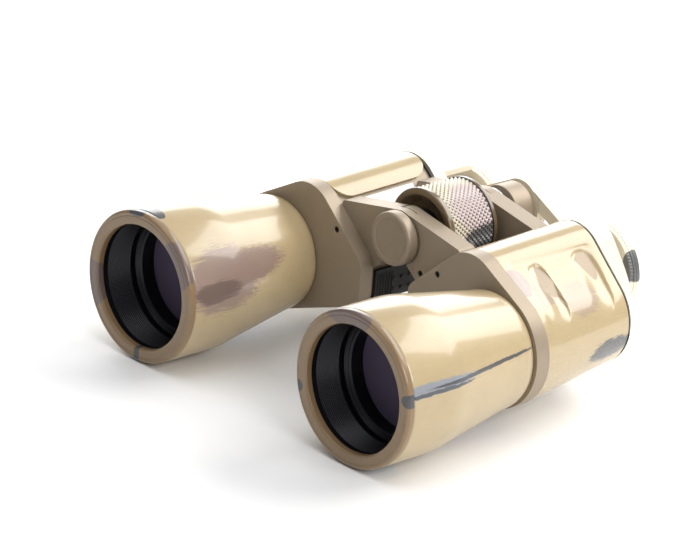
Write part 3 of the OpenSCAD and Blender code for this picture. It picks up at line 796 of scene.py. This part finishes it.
def outline(circles, steps):
    """Outer line around a ring of circles (x, z, r), anticlockwise seen from the front.

    Each circle is followed from the angle where the line from the circle
    before touches it to the angle where the line to the next one leaves it.
    """
    circles = np.asarray(circles, float)
    after = np.roll(circles, -1, 0)
    gap = after[:, :2] - circles[:, :2]
    leave = np.arctan2(gap[:, 1], gap[:, 0]) - np.arccos(
        (circles[:, 2] - after[:, 2]) / np.linalg.norm(gap, axis=1)
    )
    touch = np.roll(leave, 1)
    turn = (leave - touch) % (2 * math.pi)
    angle = touch[:, None] + turn[:, None] * np.linspace(0, 1, steps)[None]
    x = circles[:, :1] + circles[:, 2:] * np.cos(angle)
    z = circles[:, 1:2] + circles[:, 2:] * np.sin(angle)
    return np.stack([x, z], 2).reshape(-1, 2)


def body_outlines(steps=64):
    """The housing's outline at its front and rear, from the boxes of the cover and the gasket."""
    low, high = box_mm("right_front_cover")
    rear_high = box_mm("right_gasket")[1]
    r_body = OBJECTIVE[1] - low[2]
    r_crown, r_top, r_low, skin_gap = 16.0, 6, 5, 0.5
    crown_z = high[2] - r_crown
    rise = rear_high[2] + skin_gap - high[2]
    taper = high[0] - rear_high[0] - skin_gap
    wall = low[0]
    inner_top = (wall + r_top, HINGE[1] - 17, r_top)
    inner_low = (wall + r_low, OBJECTIVE[1] - 5, r_low)
    crown_x = EYE[0] + 9.5
    front = [(*OBJECTIVE, r_body), (crown_x, crown_z, r_crown), inner_top, inner_low]
    rear = [
        (OBJECTIVE[0] - taper / 3, OBJECTIVE[1] + 1, r_body - taper * 2 / 3),
        (crown_x, crown_z + rise, r_crown), inner_top, inner_low,
    ]
    return outline(front, steps), outline(rear, steps)


def armour_relief(y, z, length):
    """Depth of the moulded grip at places (y, z) of the armour, y from its front, in millimetres.

    A valley exp(-t^2) runs along the crown at z = 61, the field below it
    sits slightly lower, and two ovals with |y'|^3 + |z'|^3 < 1 are sunk into
    it, each deepest at its rear and upper edge and fading out to the front.
    """
    depth = sizes().groove_depth / MM
    margin, run = 2.0, 4.0
    crease_z, crease_half, crease_depth, field_depth = 61.0, 0.7, 0.45, 0.22
    ends = smooth_step((y - margin) / run) * smooth_step((length - margin - y) / run)
    sunk = crease_depth * np.exp(-(((z - crease_z) / crease_half) ** 2))
    sunk = sunk + field_depth * smooth_step((crease_z - z) / 0.8) * smooth_step((z - 36.0) / 6.0)
    for centre, half, middle, reach in ((13.2, 5.3, 51.3, 9.2), (38.2, 7.3, 50.3, 10.6)):
        along = (y - centre - 0.12 * (z - middle)) / half
        flat = np.abs(along) ** 3 + np.abs((z - middle) / reach) ** 3
        ramp = smooth_step((along + 1.0) / 1.5) * smooth_step((z - middle + reach) / reach)
        sunk = sunk + depth * ramp * smooth_step((1.0 - flat) / 0.3)
    return sunk * ends


def make_armour(side, k):
    """Moulded skin over the outer half of a housing, from the flap round to the underside.

    Row j lies at y_j on the straight blend of the front and rear outlines,
    cut at x = flap edge with its front and rear corners rounded, and is
    pushed in by the relief along its normal, from x = relief_from outward.
    """
    node = side + "_armour"
    low, high = box_mm(node)
    edge = min(abs(low[0]), abs(high[0]))
    length = high[1] - low[1]
    front, rear = body_outlines()
    rows, columns, skin, corner = 121, 261, 1.55, 8.5
    y = np.linspace(0, length, rows)
    share = (y / length)[:, None, None]
    lines = front[None] * (1 - share) + rear[None] * share
    step = np.linalg.norm(np.diff(lines, axis=1), axis=2)
    run = np.concatenate([np.zeros((rows, 1)), np.cumsum(step, 1)], 1)
    past = np.minimum(np.minimum(y, length - y), corner)
    inset = corner - np.sqrt(np.maximum(corner**2 - (corner - past) ** 2, 0))
    sheet = []
    for row in range(rows):
        x = lines[row, :, 0]
        widest = int(np.argmax(x))
        end = np.interp(-edge, -x[widest:], run[row, widest:])
        start = np.interp(edge, x[: widest + 1], run[row, : widest + 1])
        at = np.linspace(start, end - inset[row], columns)
        sheet.append(np.stack([np.interp(at, run[row], lines[row, :, c]) for c in (0, 1)], 1))
    sheet = np.array(sheet)
    tangent = np.gradient(sheet, axis=1)
    normal = np.stack([tangent[..., 1], -tangent[..., 0]], 2)
    normal /= np.linalg.norm(normal, axis=2)[..., None]
    depth = armour_relief(y[:, None] + 0 * sheet[..., 0], sheet[..., 1], length)
    relief_from, relief_run = 52.0, 4.0
    depth = depth * smooth_step((sheet[..., 0] - relief_from) / relief_run)
    outer = sheet - normal * depth[..., None]
    inner = sheet - normal * skin
    points = []
    for layer in (outer, inner):
        points.append(
            np.stack([k * layer[..., 0], low[1] + y[:, None] + 0 * layer[..., 0], layer[..., 1]], 2)
        )
    points = np.stack(points, 0)
    loop = grid_faces(rows, columns)
    back = loop[:, ::-1] + rows * columns
    rim_line = np.concatenate([
        np.arange(columns), columns * np.arange(1, rows) + columns - 1,
        (rows - 1) * columns + np.arange(columns - 2, -1, -1), columns * np.arange(rows - 2, 0, -1),
    ])
    after = np.roll(rim_line, -1)
    rim = np.stack([rim_line, rim_line + rows * columns, after + rows * columns, after], 1)
    build(
        side + "_moulded_armour", points.reshape(-1, 3), np.concatenate([loop, back, rim]),
        [node], material("armour_paint"), sharp=50, bevel=0.35 * MM,
    )


def make_pad(side, k):
    """Rubber pad softened from the frame, with upright ribs near its front."""
    softened(side + "_grip_pad", material("rubber_pad"), bevel=0.12, sharp=35, name=side + "_rubber_pad")
    low, high = box_mm(side + "_grip_pad")
    wall = min(abs(low[0]), abs(high[0])) + 0.55
    count, pitch, radius, margin = 6, 1.5, 0.42, 1.2
    rows, columns = 9, 7
    t = np.linspace(0, math.pi, columns)
    z = np.linspace(low[2] + margin, high[2] - margin, rows)
    size = radius * np.sqrt(np.clip(1 - np.abs(np.linspace(-1, 1, rows)) ** 8, 0.02, 1))
    points, faces = [], []
    for i in range(count):
        centre = low[1] + 1.6 + i * pitch
        x = k * (wall - size[:, None] * np.sin(t)[None])
        y = centre + size[:, None] * np.cos(t)[None]
        points.append(np.stack([x, y, z[:, None] + 0 * y], 2).reshape(-1, 3))
        faces.append(grid_faces(rows, columns, close_columns=True) + i * rows * columns)
    build(
        side + "_pad_ribs", np.concatenate(points), np.concatenate(faces),
        [side + "_grip_pad"], material("rubber_pad"),
    )


def make_knurl():
    """Knurled sleeve of the focus wheel.

    r = R - depth (1 - min(f wave(p), f wave(q), 1)), with p and q the angle and
    the length in knurl pitches, added and taken from each other, and f the
    flank factor that cuts the tips flat. A point attribute is 1 in the pits and darkens the paint there as
    painted shade.
    """
    low, high = box_mm("wheel_grip")
    radius = (high[2] - low[2]) / 2
    count, depth = sizes().knurl_count, sizes().knurl_depth / MM
    steps_per_pitch, flank, wall = 8, 1.25, 1.85
    pit_edge, pit_blur = 0.85, 0.25
    around_steps = count * steps_per_pitch
    pitch = 2 * math.pi * radius / count
    along_steps = int(round((high[1] - low[1]) / pitch * steps_per_pitch)) + 1
    angle = np.linspace(0, 2 * math.pi, around_steps, endpoint=False)[:, None]
    y = np.linspace(low[1], high[1], along_steps)[None]
    turn, length = angle * count / (2 * math.pi), (y - low[1]) / pitch
    one, other = wave(turn + length), wave(turn - length)
    r = radius - depth * (1 - np.minimum(np.minimum(one, other) * flank, 1))
    # Mask of the pits where both groove lines meet; it darkens the paint there as painted shade.
    pit_shade = smooth_step((pit_edge - one - other) / pit_blur)
    pit_shade = np.concatenate([0 * angle, pit_shade, 0 * angle], 1)
    inner = radius - wall
    r = np.concatenate([0 * angle + inner, r, 0 * angle + inner], 1)
    y = np.concatenate([y[:, :1], y, y[:, -1:]], 1) + 0 * r
    points = np.stack([HINGE[0] + r * np.cos(angle), y, HINGE[1] + r * np.sin(angle)], 2)
    faces = grid_faces(around_steps, along_steps + 2, close_rows=True, close_columns=True)
    build(
        "knurled_grip", points.reshape(-1, 3), faces, ["wheel_grip"],
        material("wheel_grip_paint"), shares=pit_shade.ravel(), sharp=25,
    )


def make_wheel():
    """Wheel body: two smooth rims, a seat for the knurl, a hollow front and a groove near the rear, filled
    by a black ring as painted shade.
    """
    low, high = box_mm("focus_wheel")
    grip_low, grip_high = box_mm("wheel_grip")
    bore, seat = 7.05, WHEEL_R - 2
    front, back = low[1], high[1]
    profile = [
        (bore, front + 3), (WHEEL_R - 5.5, front + 3), (WHEEL_R - 2.8, front), (WHEEL_R - 0.5, front),
        (WHEEL_R, front + 0.5), (WHEEL_R, grip_low[1]), (seat, grip_low[1]), (seat, grip_high[1]),
        (WHEEL_R - 0.45, grip_high[1]), (WHEEL_R - 0.45, grip_high[1] + 0.35), (WHEEL_R, grip_high[1] + 0.5),
        (WHEEL_R, back - 0.5), (WHEEL_R - 0.5, back), (bore, back),
    ]
    soft = [0.1, 0.8, 0.5, 0.3, 0.3, 0.15, 0.1, 0.1, 0.1, 0.1, 0.1, 0.3, 0.3, 0.1]
    turned(
        "wheel_body", HINGE, rounded(profile, soft), ["focus_wheel"],
        material("wheel_rim_paint"), count=192,
    )
    # A matt black ring fills the groove near the rear as painted shade.
    groove = [
        (WHEEL_R - 0.5, grip_high[1] - 0.02), (WHEEL_R - 0.06, grip_high[1] - 0.02),
        (WHEEL_R - 0.06, grip_high[1] + 0.42), (WHEEL_R - 0.5, grip_high[1] + 0.42),
    ]
    turned("wheel_groove_shade", HINGE, groove, ["focus_wheel"], material("matt_black"), count=128)


def make_cap():
    """Front cap: a plain face sunk a little inside a soft rim, and a hollow spigot behind."""
    low, high = box_mm("front_cap")
    radius = (high[2] - low[2]) / 2
    thickness, sunk = 5.0, 0.2
    front, back = low[1], low[1] + thickness
    tip = high[1]
    spigot, hollow, pole = 5.45, 3.95, 0.02
    profile = [
        (pole, front + sunk), (radius - 2.6, front + sunk), (radius - 2.2, front), (radius - 0.7, front),
        (radius, front + 0.7), (radius, back - 0.3), (radius - 0.3, back), (spigot, back),
        (spigot, tip), (hollow, tip), (hollow, back), (pole, back),
    ]
    soft = [0.0, 0.3, 0.2, 0.5, 0.5, 0.1, 0.1, 0.1, 0.2, 0.2, 0.1, 0.0]
    turned("screw_cap", HINGE, rounded(profile, soft), ["front_cap"], material("brown_casting"), count=160)


def make_eyecup(side, k):
    """Eyecup with a rolled rim, one fine line outside and a dished inside."""
    node = side + "_eyecup"
    low, high = box_mm(node)
    ring_low, ring_high = box_mm(EYE_RING[side])
    bore_r, neck_r = (11.15 if k < 0 else 11.1), 13.3
    back, seat = high[1], ring_high[1]
    lip = EYECUP_R - 3
    profile = [
        (neck_r, ring_low[1] + 0.6), (EYE_RING_BORE_R, ring_low[1] + 0.6),
        (EYE_RING_BORE_R, seat), (EYECUP_R, seat),
        (EYECUP_R, seat + 1.2), (EYECUP_R - 0.25, seat + 1.4), (EYECUP_R, seat + 1.6),
        (EYECUP_R, back - 1), (EYECUP_R - 1, back), (lip + 0.5, back), (lip, back - 0.8),
        (lip - 1, seat + 1), (bore_r, seat + 1), (bore_r, seat - 0.3), (neck_r, seat - 0.3),
    ]
    soft = [0.1, 0.1, 0.1, 0.15, 0.1, 0.1, 0.1, 0.8, 0.8, 0.4, 0.5, 0.6, 0.1, 0.1, 0.1]
    turned(
        side + "_rubber_eyecup", beside(EYE, k), rounded(profile, soft), [node],
        material("eyecup_paint"), count=160,
    )


def make_eye_ring(node, k):
    """Turning ring with fine lengthwise flutes: r = R - depth (1 - wave(n t / 2 pi))^2."""
    low, high = box_mm(node)
    radius = (high[2] - low[2]) / 2
    flutes, steps, depth, chamfer = 90, 720, 0.35, 0.3
    angle = np.linspace(0, 2 * math.pi, steps, endpoint=False)[:, None]
    cut = depth * (1 - wave(angle * flutes / (2 * math.pi))) ** 2
    y = np.array([low[1], low[1], low[1] + chamfer, high[1] - chamfer, high[1], high[1]])[None]
    bore, edge = EYE_RING_BORE_R, radius - chamfer
    base = np.array([bore, edge, radius, radius, edge, bore])[None]
    fluted = np.array([0, 0.4, 1, 1, 0.4, 0])[None]
    r = base - cut * fluted
    centre = beside(EYE, k)
    points = np.stack([centre[0] + r * np.cos(angle), y + 0 * r, centre[1] + r * np.sin(angle)], 2)
    faces = grid_faces(steps, 6, close_rows=True, close_columns=True)
    build(node + "_fluted", points.reshape(-1, 3), faces, [node], material("eyecup_paint"), sharp=40)


def make_eye_lens(side):
    """Eyepiece glasses kept from the frame, with a lens material."""
    frame["nodes"][side + "_eye_lenses"].material_slots[0].material = material("coated_lens")


# ---- Operators -----------------------------------------------------------


class BINOCULARS_OT_stage(bpy.types.Operator):
    """Make the pale floor, the soft lights and the camera"""

    bl_idname = "binoculars.stage"
    bl_label = "Stage"

    def execute(self, context):
        scene = context.scene
        half = 4.0
        mesh = bpy.data.meshes.new("studio_floor")
        mesh.from_pydata(
            [(-half, -half, 0), (half, -half, 0), (half, half, 0), (-half, half, 0)], [], [(0, 1, 2, 3)]
        )
        paper, tree, shader, place = start_material("studio_paper")
        fibre, _ = noise(tree, place, 0.5, 3.0)
        tone = ranged(tree, fibre, 0.2, 0.8, 0.895, 0.905)
        grey = add(tree, "ShaderNodeCombineColor", {0: tone, 1: tone, 2: tone})
        tree.links.new(grey.outputs[0], shader.inputs["Base Color"])
        shader.inputs["Roughness"].default_value = 0.7
        mesh.materials.append(paper)
        floor = bpy.data.objects.new("studio_floor", mesh)
        floor.location.z = -0.0004
        scene.collection.objects.link(floor)

        world = bpy.data.worlds.new("studio_world")
        world.use_nodes = True
        world.node_tree.nodes["Background"].inputs[0].default_value = (0.93, 0.96, 1.0, 1)
        world.node_tree.nodes["Background"].inputs[1].default_value = 0.27
        scene.world = world
        scene.view_settings.view_transform = "Standard"
        for name, place, aim, size, power, tint in (
            ("rear_softbox", (0.25, 0.75, 0.75), (0, 0.03, 0.03), (0.9, 0.6), 10, (1.0, 0.98, 0.95)),
            ("back_softbox", (-0.85, 0.85, 0.46), (0, 0, 0.04), (1.5, 0.7), 15, (1.0, 1.0, 1.0)),
            ("right_softbox", (1.1, -0.1, 0.65), (0.05, 0, 0.03), (0.9, 0.5), 10, (1.0, 0.98, 0.96)),
            ("top_softbox", (-0.15, -0.25, 1.1), (0, 0, 0.03), (1.0, 0.8), 5, (1.0, 1.0, 1.0)),
        ):
            light = bpy.data.lights.new(name, "AREA")
            light.shape = "RECTANGLE"
            light.size, light.size_y = size
            light.energy = power
            light.color = tint
            lamp = bpy.data.objects.new(name, light)
            lamp.location = place
            lamp.rotation_mode = "QUATERNION"
            lamp.rotation_quaternion = (Vector(aim) - Vector(place)).to_track_quat("-Z", "Y")
            scene.collection.objects.link(lamp)

        turn, rise, roll = (math.radians(v) for v in (45.54, 21.27, 4.16))
        target, distance = Vector((-5.0, -21.0, 44.13)) * MM, 1.6262
        back = Vector((
            math.sin(turn) * math.cos(rise), -math.cos(turn) * math.cos(rise), math.sin(rise)
        ))
        lens = bpy.data.cameras.new("product_camera")
        lens.sensor_width, lens.lens = 36.0, 213.51
        lens.clip_start, lens.clip_end = 0.05, 20.0
        camera = bpy.data.objects.new("product_camera", lens)
        camera.location = target + back * distance
        camera.rotation_mode = "QUATERNION"
        camera.rotation_quaternion = (-back).to_track_quat("-Z", "Y") @ Quaternion((0, 0, 1), roll)
        scene.collection.objects.link(camera)
        scene.camera = camera
        return {"FINISHED"}


class BINOCULARS_OT_finishes(bpy.types.Operator):
    """Make the shader node groups that the paints and metals share"""

    bl_idname = "binoculars.finishes"
    bl_label = "Finishes"

    def execute(self, context):
        make_brushed_patch_group()
        make_paint_film_group()
        return {"FINISHED"}


class BINOCULARS_OT_objectives(bpy.types.Operator):
    """Make both objectives: front rings, tubes, lens cells, retainers and lenses"""

    bl_idname = "binoculars.objectives"
    bl_label = "Objectives"

    def execute(self, context):
        for side, k in SIDES:
            make_objective_ring(side, k)
            make_objective_barrel(side, k)
            make_objective_cell(side, k)
            make_retaining_ring(side, k)
            make_objective_lens(side, k)
            softened(side + "_baffle", material("matt_black"), bevel=0.1)
        return {"FINISHED"}


class BINOCULARS_OT_housings(bpy.types.Operator):
    """Make the castings, covers, armour, pads, gaskets, screws and the blank label"""

    bl_idname = "binoculars.housings"
    bl_label = "Prism Housings"

    def execute(self, context):
        for side, k in SIDES:
            softened(side + "_front_cover", material("brown_casting"), bevel=0.8, segments=3)
            softened(side + "_housing", material("brown_casting"))
            # The rear covers take the cream painted highlight in place of the brown casting.
            softened(side + "_rear_cover", material("rear_cover_highlight_paint"), bevel=0.5, segments=3)
            softened(side + "_gasket", material("gasket_rubber"), bevel=0.25)
            softened(side + "_cover_screws", material("black_oxide"), bevel=0.12)
            make_armour(side, k)
            make_pad(side, k)
        softened("left_label", material("label_film"), bevel=0.1)
        return {"FINISHED"}


class BINOCULARS_OT_prisms(bpy.types.Operator):
    """Make the prism shelves, prisms and spring clips"""

    bl_idname = "binoculars.prisms"
    bl_label = "Prisms"

    def execute(self, context):
        for side, _ in SIDES:
            softened(side + "_prism_shelf", material("matt_black"), bevel=0.2)
            softened(side + "_front_prism", material("prism_glass"), bevel=0.25)
            softened(side + "_rear_prism", material("prism_glass"), bevel=0.25)
            softened(side + "_prism_clips", material("brass"), bevel=0.12)
        return {"FINISHED"}


class BINOCULARS_OT_hinge(bpy.types.Operator):
    """Make the hinge tube with its bush, washers, spacers, nut and front cap"""

    bl_idname = "binoculars.hinge"
    bl_label = "Hinge"

    def execute(self, context):
        softened("hinge_tube", material("steel"), bevel=0.2)
        softened("tripod_bush", material("brass"), bevel=0.15)
        softened("hinge_washers", material("brass"), bevel=0.05)
        softened("wheel_spacers", material("black_anodised"), bevel=0.2)
        softened("hinge_ring_nut", material("steel"), bevel=0.3)
        make_cap()
        return {"FINISHED"}


class BINOCULARS_OT_wheel(bpy.types.Operator):
    """Make the focus wheel and its knurled grip"""

    bl_idname = "binoculars.wheel"
    bl_label = "Focus Wheel"

    def execute(self, context):
        make_wheel()
        make_knurl()
        return {"FINISHED"}


class BINOCULARS_OT_bridge(bpy.types.Operator):
    """Make the focus rod, its pin and sleeve, the bridge arms and the hub cap"""

    bl_idname = "binoculars.bridge"
    bl_label = "Bridge"

    def execute(self, context):
        softened("focus_rod", material("steel"), bevel=0.3)
        softened("drive_pin", material("steel"), bevel=0.2)
        softened("rod_sleeve", material("brown_casting"), bevel=0.4)
        softened("bridge_cap", material("brown_casting"), bevel=0.3)
        for side, _ in SIDES:
            # The bridge arms take the cream painted highlight in place of the brown casting.
            softened(side + "_bridge_arm", material("rear_cover_highlight_paint"), bevel=0.7, segments=3)
        return {"FINISHED"}


class BINOCULARS_OT_eyepieces(bpy.types.Operator):
    """Make the eyepiece barrels, cells, lenses, turning rings and eyecups"""

    bl_idname = "binoculars.eyepieces"
    bl_label = "Eyepieces"

    def execute(self, context):
        for side, k in SIDES:
            softened(side + "_eyepiece_barrel", material("black_anodised"), bevel=0.3)
            softened(side + "_eye_cell", material("black_anodised"), bevel=0.2)
            make_eye_ring(EYE_RING[side], k)
            make_eyecup(side, k)
            make_eye_lens(side)
        return {"FINISHED"}


class BINOCULARS_PT_panel(bpy.types.Panel):
    """Lists the pieces and settings of the binoculars"""

    bl_idname = "BINOCULARS_PT_panel"
    bl_label = "Field Binoculars"
    bl_space_type = "VIEW_3D"
    bl_region_type = "UI"
    bl_category = "Binoculars"

    def draw(self, context):
        column = self.layout.column()
        for operator in OPERATORS:
            column.operator(operator.bl_idname)
        for group in (context.scene.binocular_sizes, context.scene.binocular_colours):
            for key in group.__annotations__:
                column.prop(group, key)


OPERATORS = (
    BINOCULARS_OT_finishes,
    BINOCULARS_OT_stage,
    BINOCULARS_OT_objectives,
    BINOCULARS_OT_housings,
    BINOCULARS_OT_prisms,
    BINOCULARS_OT_hinge,
    BINOCULARS_OT_wheel,
    BINOCULARS_OT_bridge,
    BINOCULARS_OT_eyepieces,
)
CLASSES = (BinocularSizes, BinocularColours, *OPERATORS, BINOCULARS_PT_panel)


def register():
    for cls in CLASSES:
        bpy.utils.register_class(cls)
    bpy.types.Scene.binocular_sizes = bpy.props.PointerProperty(type=BinocularSizes)
    bpy.types.Scene.binocular_colours = bpy.props.PointerProperty(type=BinocularColours)


def unregister():
    del bpy.types.Scene.binocular_colours
    del bpy.types.Scene.binocular_sizes
    for cls in reversed(CLASSES):
        bpy.utils.unregister_class(cls)


def main():
    register()
    bpy.ops.binoculars.finishes()
    bpy.ops.binoculars.stage()
    bpy.ops.binoculars.objectives()
    bpy.ops.binoculars.housings()
    bpy.ops.binoculars.prisms()
    bpy.ops.binoculars.hinge()
    bpy.ops.binoculars.wheel()
    bpy.ops.binoculars.bridge()
    bpy.ops.binoculars.eyepieces()


if __name__ == "__main__":
    main()
